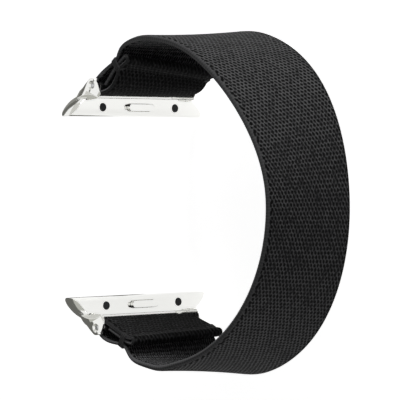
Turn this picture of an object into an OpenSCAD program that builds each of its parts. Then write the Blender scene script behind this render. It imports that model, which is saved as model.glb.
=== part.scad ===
// Elastic watch band: a loop of woven webbing, folded and sewn round a spring bar
// at each end, with a steel connector swivelling on each bar.
// The band lies on its edge. X runs to the upper end, -Y to the underside of the
// wrist, Z across the strap.

/* [Strap] */
// Width of the elastic webbing
strap_w = 23.8; // [20:0.2:26]
// Thickness of the webbing in the loop
webbing_t = 1.2; // [1:0.05:1.5]
// Thickness of the webbing where it goes round a bar
folded_t = 0.9; // [0.6:0.05:0.95]
// Thickness of each layer where the fold is sewn down
sewn_t = 0.74; // [0.5:0.02:0.8]
// Gap between neighbouring layers at the seam
layer_gap = 0.08; // [0.04:0.01:0.14]
// Width of the thinner rim woven along each edge
selvage_w = 0.6; // [0.3:0.05:1.2]
// Gap between the webbing and the bar inside it
bar_fit = 0.16; // [0.06:0.01:0.2]

/* [Loop] */
// Where the loop is tallest, behind the back plane
crest_back = 13.5; // [11:0.5:15]
// Depth of the loop, in the middle of the strap's width
loop_depth = 43.7; // [39:0.1:55]
// How much deeper the loop hangs along its left edge than along its right
depth_skew = 2.2; // [0:0.1:4]
// Height of the upper half, in the middle of the strap's width
upper_rise = 32.825; // [31.5:0.025:38]
// How much taller the upper half is along its right edge than along its left
upper_rise_skew = 1.65; // [0:0.05:2]
// Height of the lower half, in the middle of the strap's width
lower_rise = 32.075; // [31.5:0.025:38]
// How much taller the lower half is along its right edge than along its left
lower_rise_skew = 2.35; // [0:0.05:2.5]
// How pointed the upper half is along the left edge
upper_left_point = 0.032; // [-0.03:0.002:0.04]
// How pointed the upper half is along the right edge
upper_right_point = -0.014; // [-0.03:0.002:0.04]
// How pointed the lower half is along the left edge
lower_left_point = 0.002; // [-0.03:0.002:0.04]
// How pointed the lower half is along the right edge
lower_right_point = -0.006; // [-0.03:0.002:0.04]

/* [Upper fold] */
// How far behind the bar the upper seam lies
upper_seam_back = 5.9; // [5.4:0.05:6.8]
// How far outside the bar the upper seam lies, in the middle of the strap's width
upper_seam_out = 3.1; // [2.8:0.05:3.5]
// How much further out the upper seam lies along the left edge than along the right
upper_seam_out_skew = 1.8; // [0:0.1:2]
// Slope of the layers through the upper seam, in the middle of the width
upper_seam_angle = 29; // [24:1:34]
// Slope of the outer layer where it comes to the upper seam, in the middle
upper_dip_angle = 19; // [12:1:28]
// How much steeper these layers are along the left edge than along the right
upper_slope_skew = 12; // [0:1:14]
// How much further outward than straight the outer layer leaves the upper bar
upper_bulge_angle = 9; // [0:1:45]
// Slope of the strap where it leaves the upper seam
upper_climb_angle = 66; // [48:1:72]
// Slope of the hem that sticks out past the upper seam, in the middle
upper_hem_angle = 24; // [18:1:30]
// Length of that hem
upper_hem_len = 2.1; // [1.6:0.1:2.6]
// Slope of the upper flap where it leaves the bar
upper_flap_angle = 0; // [-4:1:8]
// How far the upper flap runs on before it turns up to the seam
upper_flap_slack = 5.2; // [4:0.1:5.5]
// Where the tucked-in tail ends, as an angle round the upper bar
upper_tail_angle = 176; // [170:1:180]

/* [Lower fold] */
// How far behind the bar the lower seam lies
lower_seam_back = 6.35; // [5.8:0.05:7.2]
// How far outside the bar the lower seam lies, in the middle of the strap's width
lower_seam_out = 2.1; // [1.8:0.05:2.4]
// How much further out the lower seam lies along the left edge than along the right
lower_seam_out_skew = 0.7; // [0:0.1:0.8]
// Slope of the layers through the lower seam
lower_seam_angle = 27; // [22:1:32]
// Slope of the outer layer where it comes to the lower seam
lower_dip_angle = 6; // [0:1:24]
// How much further outward than straight the outer layer leaves the lower bar
lower_bulge_angle = 66; // [0:1:70]
// Slope of the strap where it leaves the lower seam
lower_climb_angle = 43; // [38:1:50]
// Slope of the hem that sticks out past the lower seam
lower_hem_angle = 12; // [4:1:16]
// Length of that hem
lower_hem_len = 1.7; // [1.4:0.1:2.2]
// Slope of the lower flap where it leaves the bar
lower_flap_angle = 25; // [20:1:27]
// How far the lower flap runs on before it turns up to the seam
lower_flap_slack = 2; // [1.6:0.1:2.6]
// Where the tucked-in tail ends, as an angle round the lower bar
lower_tail_angle = 170; // [166:1:176]

/* [Spring bars] */
// Where a bar lies in front of the back plane
bar_y = 1.9; // [1.7:0.05:2]
// How far a bar lies outside the end of the body that the lugs slide into
bar_out = 1.4; // [1.35:0.05:1.7]
// Radius of a bar's barrel
barrel_r = 0.75; // [0.7:0.01:0.8]
// Radius of the barrel's bore
barrel_bore_r = 0.57; // [0.55:0.01:0.6]
// Radius of a tip's pin
pin_r = 0.45; // [0.4:0.01:0.46]
// Clearance round a pin in its hole
pin_fit = 0.05; // [0.03:0.01:0.08]
// Clearance round a tip's head in the bore
head_fit = 0.04; // [0.02:0.01:0.05]
// Length of a tip's head
head_len = 2.6; // [2:0.1:3.4]
// Length of the rolled lip that keeps a tip in its barrel
lip_len = 0.35; // [0.25:0.05:0.6]
// How far a pin ends below the outside of an arm
pin_below = 0.2; // [0.1:0.05:0.3]
// Turns of the spring in a barrel
bar_spring_turns = 12; // [9:1:14]
// Wire radius of the spring in a barrel
bar_wire_r = 0.09; // [0.07:0.01:0.11]

/* [Connectors] */
// Gap between the strap's edge and an arm
arm_gap = 0.55; // [0.3:0.05:0.6]
// Thickness of an arm
arm_t = 1.05; // [0.9:0.05:1.3]
// Radius of an arm's eye
eye_r = 1.45; // [1.3:0.05:1.5]
// Radius of the countersink round a pin hole
sink_r = 0.9; // [0.8:0.05:1]
// Depth of that countersink
sink_depth = 0.3; // [0.2:0.05:0.4]
// How far out of the slot an arm keeps the lug's full height
shoulder_out = 0.7; // [0:0.1:0.8]
// How far inside the lug's outer face the neck of an arm starts
neck_in = 0.8; // [0.4:0.1:1.2]
// How far short of the bar that neck ends
neck_out = 0.8; // [0.4:0.1:1]
// How far below the curve of the lug's end the neck starts
neck_low = 0.3; // [0.1:0.05:0.4]
// How far behind the lug's middle the ridge of the neck lies
neck_back = 0.9; // [0.4:0.1:1.2]
// Radius of an arm's rounded outer side
arm_side_r = 4; // [3:0.1:6]
// Slope of the ridge along which that side is highest
arm_ridge_angle = 32; // [20:1:45]
// How far in front of the eye's middle that ridge passes
arm_ridge = 0.7; // [0:0.1:1]
// How far the bevel on an arm's outer corner reaches forward at the lug
bevel_y = 2.3; // [1.5:0.1:2.6]
// Thickness of a lug, front to back
lug_t = 3.8; // [3.6:0.05:4]
// Middle of a lug in front of the back plane
lug_y = 5.1; // [5.05:0.05:5.3]
// How deep a lug reaches into the body that it slides into
lug_depth = 4.5; // [4.3:0.1:4.8]
// Radius of the lug's inner edges
nose_r = 1.6; // [1.2:0.05:1.7]
// Depth of the web that passes through the mouth of the slot
web_depth = 0.9; // [0.8:0.05:1]
// Thickness of that web
web_t = 2.2; // [1.8:0.1:2.6]
// Thickness of the web's outer edge
web_edge_t = 0.7; // [0.5:0.05:0.9]
// How far the web reaches out of the mouth of the slot
web_out = 0.3; // [0.2:0.05:0.4]
// How far the curve of a lug's end is shifted outward from the body's corner
end_out = 0.6; // [0.3:0.05:0.7]
// How far that curve is shifted toward the lug's middle
end_in = 0.5; // [0.3:0.05:0.6]
// Half the height of the body that the lugs slide into
host_half_h = 22; // [21:0.1:23]
// Half the width of that body
host_half_w = 19; // [17:0.1:20]
// Radius of its corners
host_corner_r = 9.5; // [9:0.1:11]
// Radius of its rounded sides, front to back
host_side_r = 5.3; // [5:0.1:6]

/* [Lock] */
// Length of the lock button's nose
button_len = 6.6; // [5:0.1:7.4]
// Height of the lock button's nose
button_h = 1.4; // [1.2:0.05:1.5]
// How far the nose stands out of the lug
button_out = 0.8; // [0.5:0.05:0.9]
// Margin of the button's flange round its nose
flange_edge = 0.4; // [0.3:0.05:0.45]
// Thickness of that flange
flange_t = 0.5; // [0.4:0.05:0.6]
// Clearance round the button
button_fit = 0.05; // [0.03:0.01:0.06]
// Wall of the lug in front of the flange
lock_wall = 0.6; // [0.5:0.05:0.7]
// Thickness of the cover behind the springs
cover_t = 0.6; // [0.5:0.05:0.7]
// Length of the cover's ear past the pocket
cover_ear = 1.6; // [1.5:0.05:1.8]
// Clearance round the cover
cover_fit = 0.04; // [0.02:0.01:0.06]
// Radius of a cover screw's head
screw_head_r = 0.56; // [0.5:0.02:0.6]
// Thickness of that head
screw_head_t = 0.25; // [0.2:0.01:0.3]
// Radius of a cover screw's shank
screw_r = 0.33; // [0.3:0.01:0.36]
// Length of a cover screw
screw_len = 1.8; // [1.4:0.05:2]
// Clearance round a cover screw
screw_fit = 0.03; // [0.02:0.01:0.04]
// Distance of a lock spring from the button's middle
lock_spring_at = 2.2; // [1.8:0.1:2.6]
// Mean radius of a lock spring
lock_spring_r = 0.6; // [0.5:0.02:0.64]
// Wire radius of a lock spring
lock_wire_r = 0.11; // [0.09:0.01:0.12]
// Turns of a lock spring
lock_spring_turns = 2.75; // [2.25:0.25:2.75]
// Radius of a grip pad
pad_r = 0.8; // [0.6:0.05:0.95]
// Depth of a grip pad in the lug
pad_depth = 0.9; // [0.6:0.05:1.2]
// How far a grip pad stands out of the lug
pad_out = 0.1; // [0.05:0.01:0.2]
// Distance of a grip pad from the lug's middle
pad_at = 9.5; // [8.5:0.1:10.5]
// Clearance round a grip pad
pad_fit = 0.02; // [0.01:0.01:0.04]

/* [Hidden] */
$fn = 48;
// Overlap of shapes that are joined or cut
eps = 0.01;
// Length of shapes that only have to pass right through an arm
through = 30;

webbing_c = "#2a2a2c";
steel_c = "#d4d4d2";
spring_c = "#a9abad";
pad_c = "#3a3c3e";

// Places that several pieces share. Sketch points are [x, y].
bar = [host_half_h + bar_out, bar_y];
wrap_r = barrel_r + bar_fit + folded_t / 2;
layer_pitch = sewn_t + layer_gap;
hem_roll = 0.75;
hem_r = hem_roll * sewn_t;
tail_gap = 0.6;
tail_r = wrap_r + tail_gap;
arm_in = strap_w / 2 + arm_gap;
arm_out = arm_in + arm_t;
lug_back = lug_y - lug_t / 2;
lug_front = lug_y + lug_t / 2;
lug_nose = host_half_h - lug_depth;
lug_top = host_half_h - web_depth;
lug_mid_x = (lug_nose + lug_top) / 2;
corner_x = host_half_h - host_corner_r;
corner_z = host_half_w - host_corner_r;
lug_half = corner_z + sqrt(pow(host_corner_r, 2) - pow(lug_nose - corner_x, 2));
host_above_lug = 0.2;
host_mid_y = lug_y + host_above_lug;
barrel_half = strap_w / 2;
lip_fit = 0.02;
head_end = barrel_half - lip_len - lip_fit;
head_r = barrel_bore_r - head_fit;
pin_end = arm_out - pin_below;
pin_chamfer = 0.15;
flange_y = lug_back + lock_wall;
cover_y = lug_front - cover_t;
pocket_len = button_len + 2 * flange_edge + 2 * button_fit;
pocket_h = button_h + 2 * flange_edge + 2 * button_fit;
cover_len = pocket_len + 2 * cover_ear;
screw_at = pocket_len / 2 + cover_ear / 2;

// How far the strap keeps its direction at either end of a curve: the tail before
// the seam, the layers at the seam, at the hem and before the flap's turn, the climb
// after the seam and the top of the climb
tail_run = 1.4;
seam_run = 0.6;
hem_run = 0.5;
flap_run = 1.1;
climb_run = 3;
crest_run = 8.5;
// The same for the outer layer, as a share of the way from bar to seam
layer_share = 0.4;

// Stations along the strap
TAIL_STEPS = 4;
HEM_STEPS = 3;
TURN_STEPS = 8;
FLAP_STEPS = 8;
WRAP_STEPS = 14;
CLIMB_STEPS = 10;
LOOP_STEPS = 40;

// Moves the part from its working place, with the back plane at y = 0 and the
// strap's middle at z = 0, to its own frame: on its lower lug ends, box centred.
upper_end = upper_rise + upper_rise_skew / 2;
lower_end = lower_rise + lower_rise_skew / 2;
back_end = loop_depth + depth_skew / 2;
module place() {
    translate([(lower_end - upper_end) / 2, (back_end - lug_front) / 2, lug_half]) children();
}

module at_lower_end() mirror([1, 0, 0]) children();

// Direction along a layer that leaves the bar at slope a, and its outward normal
function along(a) = [sin(a), -cos(a)];
function outward(a) = [cos(a), sin(a)];

function bezier(a, b, c, d, t) =
    pow(1 - t, 3) * a + 3 * pow(1 - t, 2) * t * b + 3 * (1 - t) * t * t * c + pow(t, 3) * d;

// n stations after the first, each [x, y, half thickness]
function curve(a, b, c, d, h0, h1, n) = [for (i = [1:n])
    let (t = i / n, p = bezier(a, b, c, d, t))
    [p[0], p[1], h0 + (h1 - h0) * t]];

// One end of the strap, from the tucked-in tail to the crest of the loop: tail,
// hem, flap, turn round the bar, outer layer, climb to the crest.
function fold(back, out, seam_a, dip_a, bulge_a, climb_a, hem_a, hem_len, flap_a, flap_slack,
        tail_a, rise) =
    let (
        thin = sewn_t / 2,
        thick = folded_t / 2,
        seam = bar + [out, -back],
        outer = seam + layer_pitch * outward(seam_a),
        flap = seam - layer_pitch * outward(seam_a),
        hem = seam - layer_pitch / 2 * outward(seam_a) + hem_len * along(hem_a),
        hem_in = hem + hem_r * outward(hem_a),
        hem_out = hem - hem_r * outward(hem_a),
        tail = bar + tail_r * [sin(tail_a), cos(tail_a)],
        reach = outer - bar,
        leave_a = atan2(reach[0], reach[1]) - acos(wrap_r / norm(reach)) - bulge_a,
        pull = layer_share * norm(reach),
        flap_start = -90 - flap_a,
        off = bar + wrap_r * [sin(flap_start), cos(flap_start)],
        on = bar + wrap_r * [sin(leave_a), cos(leave_a)],
        crest = [rise - webbing_t / 2, -crest_back]
    )
    concat(
        [[tail[0], tail[1], thin]],
        curve(tail, (2 * tail + seam) / 3, seam - tail_run * along(seam_a), seam,
            thin, thin, TAIL_STEPS),
        curve(seam, seam + seam_run * along(seam_a), hem_in - hem_run * along(hem_a), hem_in,
            thin, thin, HEM_STEPS),
        [for (i = [1:TURN_STEPS])
            let (a = 90 - 180 * i / TURN_STEPS,
                 p = hem + hem_r * (cos(a) * along(hem_a) + sin(a) * outward(hem_a)))
            [p[0], p[1], thin]],
        curve(hem_out, hem_out - hem_run * along(hem_a), flap + seam_run * along(seam_a), flap,
            thin, thin, HEM_STEPS),
        curve(flap, flap - flap_run * along(seam_a), off + flap_slack * along(flap_a), off,
            thin, thick, FLAP_STEPS),
        [for (i = [1:WRAP_STEPS])
            let (a = flap_start + (leave_a - flap_start) * i / WRAP_STEPS,
                 p = bar + wrap_r * [sin(a), cos(a)])
            [p[0], p[1], thick]],
        curve(on, on + pull * [cos(leave_a), -sin(leave_a)], outer - pull * along(dip_a), outer,
            thick, thin, FLAP_STEPS),
        curve(outer, outer + climb_run * along(climb_a), crest + [0, crest_run], crest,
            thin, webbing_t / 2, CLIMB_STEPS)
    );

// The side is 1/2 along the left edge and -1/2 along the right
function upper_fold(rise, side) =
    let (turn = side * upper_slope_skew)
    fold(upper_seam_back, upper_seam_out + side * upper_seam_out_skew, upper_seam_angle + turn,
        upper_dip_angle + turn, upper_bulge_angle, upper_climb_angle, upper_hem_angle + turn,
        upper_hem_len, upper_flap_angle, upper_flap_slack, upper_tail_angle, rise);

function lower_fold(rise, side) =
    fold(lower_seam_back, lower_seam_out + side * lower_seam_out_skew, lower_seam_angle,
        lower_dip_angle, lower_bulge_angle, lower_climb_angle, lower_hem_angle, lower_hem_len,
        lower_flap_angle, lower_flap_slack, lower_tail_angle, rise);

// The loop between its two crests: two quarters of an ellipse, each sharpened or
// blunted by a third harmonic
function loop(depth, rise, point) = [for (i = [1:LOOP_STEPS - 1])
    let (t = 90 - 180 * i / LOOP_STEPS,
         k = t < 0 ? 1 : 0,
         a = depth - webbing_t / 2 - crest_back,
         b = rise[k] - webbing_t / 2)
    [b * (sin(t) - point[k] * (sin(3 * t) + sin(t))),
     -crest_back - a * (cos(t) + point[k] * (cos(3 * t) - cos(t))),
     webbing_t / 2]];

function flip(points) = [for (i = [len(points) - 1:-1:0])
    [-points[i][0], points[i][1], points[i][2]]];

function route(side, point) =
    let (
        depth = loop_depth + side * depth_skew,
        rise = [upper_rise - side * upper_rise_skew, lower_rise - side * lower_rise_skew]
    )
    concat(upper_fold(rise[0], side), loop(depth, rise, point), flip(lower_fold(rise[1], side)));

function xy(p) = [p[0], p[1]];

// Outward normal of a route at each station
function normals(r) = [for (i = [0:len(r) - 1])
    let (d = xy(r[min(i + 1, len(r) - 1)]) - xy(r[max(i - 1, 0)]))
    [-d[1], d[0]] / norm(d)];

// The strap's cross-section: [share of the half width, share of the half thickness]
rim = 1 - 2 * selvage_w / strap_w;
edge = 0.45;
SECTION = [[rim, 1], [1, edge], [1, -edge], [rim, -1],
    [-rim, -1], [-1, -edge], [-1, edge], [-rim, 1]];

module strap() {
    left = route(1 / 2, [upper_left_point, lower_left_point]);
    right = route(-1 / 2, [upper_right_point, lower_right_point]);
    left_n = normals(left);
    right_n = normals(right);
    n = len(left);
    s = len(SECTION);
    points = [for (i = [0:n - 1]) for (c = SECTION)
        let (f = (1 + c[0]) / 2,
             p = f * left[i] + (1 - f) * right[i],
             m = f * left_n[i] + (1 - f) * right_n[i],
             q = xy(p) - c[1] * p[2] * m / norm(m))
        [q[0], q[1], c[0] * strap_w / 2]];
    sides = [for (i = [0:n - 2]) for (j = [0:s - 1])
        let (k = (j + 1) % s)
        each [[i * s + j, i * s + k, (i + 1) * s + j],
              [i * s + k, (i + 1) * s + k, (i + 1) * s + j]]];
    caps = [for (j = [1:s - 2])
        each [[0, j + 1, j],
              [(n - 1) * s, (n - 1) * s + j, (n - 1) * s + j + 1]]];
    color(webbing_c)
    place()
    polyhedron(points, concat(sides, caps));
}

// A slot-shaped block across the lug, from y0 to y1, centred on the lock
module slot_block(length, height, y0, y1) {
    translate([lug_mid_x, y0, 0])
    rotate([-90, 0, 0])
    linear_extrude(y1 - y0) {
        square([height, length - height], center = true);
        for (s = [-1, 1])
            translate([0, s * (length - height) / 2])
            circle(d = height);
    }
}

module across(x, y0, y1, z, r) {
    translate([x, y0, z])
    rotate([-90, 0, 0])
    cylinder(h = y1 - y0, r = r);
}

module lug_section() {
    translate([lug_nose + nose_r, lug_back])
    square([lug_top - lug_nose - nose_r, lug_t]);
    translate([lug_nose, lug_back + nose_r])
    square([nose_r + eps, lug_t - 2 * nose_r]);
    for (y = [lug_back + nose_r, lug_front - nose_r])
        translate([lug_nose + nose_r, y])
        circle(r = nose_r);
}

// A body with a rounded corner of radius r in plan and rounded sides, on the axis
// of that corner
module rounded_corner(x, z, r) {
    translate([x, host_mid_y, z])
    rotate([90, 0, 0])
    rotate_extrude($fn = 96) {
        translate([0, -host_side_r])
        square([r - host_side_r, 2 * host_side_r]);
        intersection() {
            translate([r - host_side_r, 0])
            circle(r = host_side_r, $fn = 96);
            translate([0, -host_side_r])
            square([r, 2 * host_side_r]);
        }
    }
}

// The surface that a lug's end is cut to. It is flush with the body at the lug's
// nose, and stands prouder of it toward the arm.
end_x = corner_x + end_out;
end_z = corner_z - end_in;
end_r = norm([lug_nose - end_x, lug_half - end_z]);
module lug_end() rounded_corner(end_x, end_z, end_r);

// What is trimmed off a lug's end
module end_waste() {
    difference() {
        translate([end_x, lug_back - 1, end_z])
        cube([end_r + 1, lug_t + 2, end_r + 1]);
        lug_end();
    }
}

// Corners of an arm's side view, between its lug and its eye. The root, heel and
// toe lie a little inside the lug's outer face.
root_in = 0.1;
heel_in = 0.5;
toe_in = 0.9;
arm_back = bar[1] - eye_r;
arm_root = [lug_top - root_in, arm_back];
arm_heel = [lug_top - heel_in, lug_back];
arm_toe = [lug_top - toe_in, lug_front];
arm_shoulder = [lug_top + shoulder_out, lug_front];
shoulder_way = arm_shoulder - bar;
touch_a = atan2(shoulder_way[1], shoulder_way[0]) - acos(eye_r / norm(shoulder_way));
eye_touch = bar + eye_r * [cos(touch_a), sin(touch_a)];
module arm_section() {
    polygon([[bar[0], arm_back], arm_root, arm_heel, arm_toe, arm_shoulder, eye_touch]);
    translate(bar)
    circle(r = eye_r);
}

module web_section() {
    outer_x = host_half_h + web_out;
    back_y = lug_y - web_t / 2;
    polygon([
        [lug_top - eps, back_y],
        [outer_x, back_y],
        [outer_x, back_y + web_edge_t],
        [lug_top - eps, back_y + web_t]]);
}

// The bevel runs out at the eye and takes the whole edge where the arm meets its lug
module arm_bevel() {
    low = [lug_top, arm_back, arm_in];
    side = [lug_top, arm_back + bevel_y, arm_out];
    high = [bar[0], arm_back, arm_out];
    normal = cross(high - low, side - low);
    unit = normal / norm(normal);
    turn = atan2(unit[1], unit[0]);
    lean = acos(unit[2]);
    translate(low)
    rotate([0, lean, turn])
    translate([-through / 2, -through / 2, 0])
    cube(through);
}

// The rounded outer side of an arm, whose ridge passes over the eye
module arm_side() {
    translate([bar[0], bar[1] + arm_ridge, arm_out - arm_side_r])
    rotate([0, 0, -arm_ridge_angle])
    rotate([0, 90, 0])
    cylinder(h = through, r = arm_side_r, center = true, $fn = 96);
}

// The rounded neck that leads from the lug's end down to that side
module arm_neck() {
    from_x = lug_top - neck_in;
    to_x = bar[0] - neck_out;
    from_z = end_z + sqrt(pow(end_r, 2) - pow(from_x - end_x, 2)) - neck_low;
    drop_a = atan2(from_z - arm_out, to_x - from_x);
    translate([to_x, lug_y - neck_back, arm_out - arm_side_r / cos(drop_a)])
    rotate([0, 90 + drop_a, 0])
    cylinder(h = through, r = arm_side_r, center = true, $fn = 96);
}

module arm() {
    difference() {
        intersection() {
            translate([0, 0, arm_in])
            linear_extrude(lug_half - arm_in)
            arm_section();
            union() {
                arm_side();
                arm_neck();
                lug_end();
            }
        }
        arm_bevel();
    }
}

module connector() {
    difference() {
        union() {
            difference() {
                translate([0, 0, -lug_half])
                linear_extrude(2 * lug_half)
                lug_section();
                end_waste();
                mirror([0, 0, 1])
                end_waste();
            }
            translate([0, 0, -arm_in - eps])
            linear_extrude(2 * arm_in + 2 * eps)
            web_section();
            arm();
            mirror([0, 0, 1])
            arm();
        }
        translate([bar[0], bar[1], -arm_out - 1])
        cylinder(h = 2 * arm_out + 2, r = pin_r + pin_fit);
        for (s = [0, 1])
            mirror([0, 0, s])
            translate([bar[0], bar[1], arm_out - sink_depth])
            cylinder(h = sink_depth + eps, r1 = pin_r + pin_fit,
                r2 = sink_r + eps * (sink_r - pin_r - pin_fit) / sink_depth);
        slot_block(button_len + 2 * button_fit, button_h + 2 * button_fit,
            lug_back - 1, flange_y + eps);
        slot_block(pocket_len, pocket_h, flange_y, cover_y + eps);
        slot_block(cover_len, pocket_h, cover_y, lug_front + 1);
        for (s = [-1, 1]) {
            across(lug_mid_x, lug_front - screw_len - screw_room, lug_front, s * screw_at,
                screw_r + screw_fit);
            across(lug_mid_x, lug_back - 1, lug_back + pad_depth, s * pad_at, pad_r);
        }
    }
}

module lock_button() {
    slot_block(button_len, button_h, lug_back - button_out, flange_y + eps);
    slot_block(button_len + 2 * flange_edge, button_h + 2 * flange_edge,
        flange_y, flange_y + flange_t);
}

module lock_cover() {
    difference() {
        slot_block(cover_len - 2 * cover_fit, pocket_h - 2 * cover_fit, cover_y, lug_front);
        for (s = [-1, 1]) {
            across(lug_mid_x, cover_y - 1, lug_front + 1, s * screw_at, screw_r + screw_fit);
            across(lug_mid_x, lug_front - screw_head_t, lug_front + 1, s * screw_at,
                screw_head_r + screw_fit);
        }
    }
}

// Room below a screw's end, and the cross cut in its head
screw_room = 0.2;
cross_depth = 0.12;
cross_w = 0.14;

module cover_screws() {
    for (s = [-1, 1])
        difference() {
            union() {
                across(lug_mid_x, lug_front - screw_head_t, lug_front, s * screw_at,
                    screw_head_r);
                across(lug_mid_x, lug_front - screw_len, lug_front - screw_head_t + eps,
                    s * screw_at, screw_r);
            }
            for (a = [0, 90])
                translate([lug_mid_x, lug_front, s * screw_at])
                rotate([0, a, 0])
                cube([1.4 * screw_head_r, 2 * cross_depth, cross_w], center = true);
        }
}

module grip_pads() {
    for (s = [-1, 1])
        across(lug_mid_x, lug_back - pad_out, lug_back + pad_depth, s * pad_at,
            pad_r - pad_fit);
}

module bar_barrel() {
    translate([bar[0], bar[1], 0])
    difference() {
        cylinder(h = 2 * barrel_half, r = barrel_r, center = true);
        cylinder(h = 2 * barrel_half + 1, r = pin_r + pin_fit, center = true);
        cylinder(h = 2 * (barrel_half - lip_len), r = barrel_bore_r, center = true);
    }
}

module bar_tip(side) {
    translate([bar[0], bar[1], 0])
    mirror([0, 0, side < 0 ? 1 : 0]) {
        translate([0, 0, head_end - head_len])
        cylinder(h = head_len, r = head_r);
        translate([0, 0, head_end - eps])
        cylinder(h = pin_end - pin_chamfer - head_end + eps, r = pin_r);
        translate([0, 0, pin_end - pin_chamfer])
        cylinder(h = pin_chamfer, r1 = pin_r, r2 = pin_r - pin_chamfer);
    }
}

// Clearance at a spring's ends, and round the spring in a barrel
spring_fit = 0.03;
coil_fit = 0.08;

// A coil spring as one tube, round Z from z0 to z1 at the tube's middle
RINGS = 8;
SIDES = 6;
function coil_at(r, z0, z1, turns, i) =
    [r * cos(360 * i / RINGS), r * sin(360 * i / RINGS), z0 + (z1 - z0) * i / (turns * RINGS)];

// Least distance between stretches of a coil that are a turn or so apart
function coil_gap(r, z0, z1, turns, wire_r) = min([for (i = [0:turns * RINGS - 6])
    for (j = [i + 6:min(i + 10, turns * RINGS)])
    norm(coil_at(r, z0, z1, turns, i) - coil_at(r, z0, z1, turns, j)) - 2 * wire_r]);

module coil(r, z0, z1, turns, wire_r) {
    steps = turns * RINGS;
    slope = atan2((z1 - z0) / turns, 360 * r * PI / 180);
    points = [for (i = [0:steps]) for (k = [0:SIDES - 1])
        let (a = 360 * i / RINGS,
             b = 360 * k / SIDES,
             radial = [cos(a), sin(a), 0],
             rise = [sin(a) * sin(slope), -cos(a) * sin(slope), cos(slope)])
        coil_at(r, z0, z1, turns, i) + wire_r * (cos(b) * radial + sin(b) * rise)];
    sides = [for (i = [0:steps - 1]) for (k = [0:SIDES - 1])
        let (m = (k + 1) % SIDES)
        each [[i * SIDES + k, i * SIDES + m, (i + 1) * SIDES + k],
              [i * SIDES + m, (i + 1) * SIDES + m, (i + 1) * SIDES + k]]];
    caps = [for (k = [1:SIDES - 2])
        each [[0, k + 1, k],
              [steps * SIDES, steps * SIDES + k, steps * SIDES + k + 1]]];
    polyhedron(points, concat(sides, caps));
    echo(str("least gap between turns, mm: ", coil_gap(r, z0, z1, turns, wire_r)));
}

module lock_springs() {
    from = flange_y + flange_t + lock_wire_r + spring_fit;
    to = cover_y - lock_wire_r - spring_fit;
    for (s = [-1, 1])
        translate([lug_mid_x, 0, s * lock_spring_at])
        rotate([-90, 0, 0])
        coil(lock_spring_r, from, to, lock_spring_turns, lock_wire_r);
}

module bar_spring() {
    reach = head_end - head_len - bar_wire_r - spring_fit;
    translate([bar[0], bar[1], 0])
    coil(barrel_bore_r - bar_wire_r - coil_fit, -reach, reach, bar_spring_turns, bar_wire_r);
}

module upper_connector() color(steel_c) place() connector();
module upper_lock_button() color(steel_c) place() lock_button();
module upper_lock_springs() color(spring_c) place() lock_springs();
module upper_lock_cover() color(steel_c) place() lock_cover();
module upper_cover_screws() color(spring_c) place() cover_screws();
module upper_grip_pads() color(pad_c) place() grip_pads();
module upper_bar_barrel() color(steel_c) place() bar_barrel();
module upper_bar_spring() color(spring_c) place() bar_spring();
module upper_left_tip() color(steel_c) place() bar_tip(1);
module upper_right_tip() color(steel_c) place() bar_tip(-1);
module lower_connector() color(steel_c) place() at_lower_end() connector();
module lower_lock_button() color(steel_c) place() at_lower_end() lock_button();
module lower_lock_springs() color(spring_c) place() at_lower_end() lock_springs();
module lower_lock_cover() color(steel_c) place() at_lower_end() lock_cover();
module lower_cover_screws() color(spring_c) place() at_lower_end() cover_screws();
module lower_grip_pads() color(pad_c) place() at_lower_end() grip_pads();
module lower_bar_barrel() color(steel_c) place() at_lower_end() bar_barrel();
module lower_bar_spring() color(spring_c) place() at_lower_end() bar_spring();
module lower_left_tip() color(steel_c) place() at_lower_end() bar_tip(1);
module lower_right_tip() color(steel_c) place() at_lower_end() bar_tip(-1);

strap();
upper_connector();
upper_lock_button();
upper_lock_springs();
upper_lock_cover();
upper_cover_screws();
upper_grip_pads();
upper_bar_barrel();
upper_bar_spring();
upper_left_tip();
upper_right_tip();
lower_connector();
lower_lock_button();
lower_lock_springs();
lower_lock_cover();
lower_cover_screws();
lower_grip_pads();
lower_bar_barrel();
lower_bar_spring();
lower_left_tip();
lower_right_tip();
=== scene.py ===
# %% [markdown]
# # An elastic watch band
#
# The real thing is one length of black elastic webbing. Each end goes round a thin
# spring bar, is folded under and sewn, and a polished steel connector turns on each
# bar. The steel pieces come from the CAD model as they are. The webbing is the piece
# that CAD can only rough out, so this lesson makes it again in full: its path, its
# woven edges, its weave and its sewing.

# %% Load the frame
import math

import bpy
import numpy as np
from mathutils import Matrix, Vector


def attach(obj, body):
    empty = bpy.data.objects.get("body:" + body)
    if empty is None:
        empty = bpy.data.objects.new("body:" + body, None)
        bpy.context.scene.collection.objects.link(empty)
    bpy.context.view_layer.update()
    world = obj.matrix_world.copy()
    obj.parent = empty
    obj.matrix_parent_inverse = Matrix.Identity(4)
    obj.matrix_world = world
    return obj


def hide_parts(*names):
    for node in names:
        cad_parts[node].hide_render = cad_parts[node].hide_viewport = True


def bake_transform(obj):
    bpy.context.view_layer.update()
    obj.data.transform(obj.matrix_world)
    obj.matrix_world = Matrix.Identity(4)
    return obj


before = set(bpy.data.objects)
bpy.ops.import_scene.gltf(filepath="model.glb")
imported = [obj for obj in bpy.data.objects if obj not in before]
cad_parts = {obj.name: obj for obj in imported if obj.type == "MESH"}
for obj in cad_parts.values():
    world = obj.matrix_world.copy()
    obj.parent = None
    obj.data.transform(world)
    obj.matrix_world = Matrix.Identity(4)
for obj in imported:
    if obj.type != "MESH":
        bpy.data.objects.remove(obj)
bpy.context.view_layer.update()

# %% [markdown]
# A few small helpers serve the whole lesson. Blender works in metres and in linear
# colour, while the band is measured in millimetres and its colours are read as sRGB
# hex. Node trees get long, so one function adds a node, sets it and links it.

# %% Helpers
MM = 0.001


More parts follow.
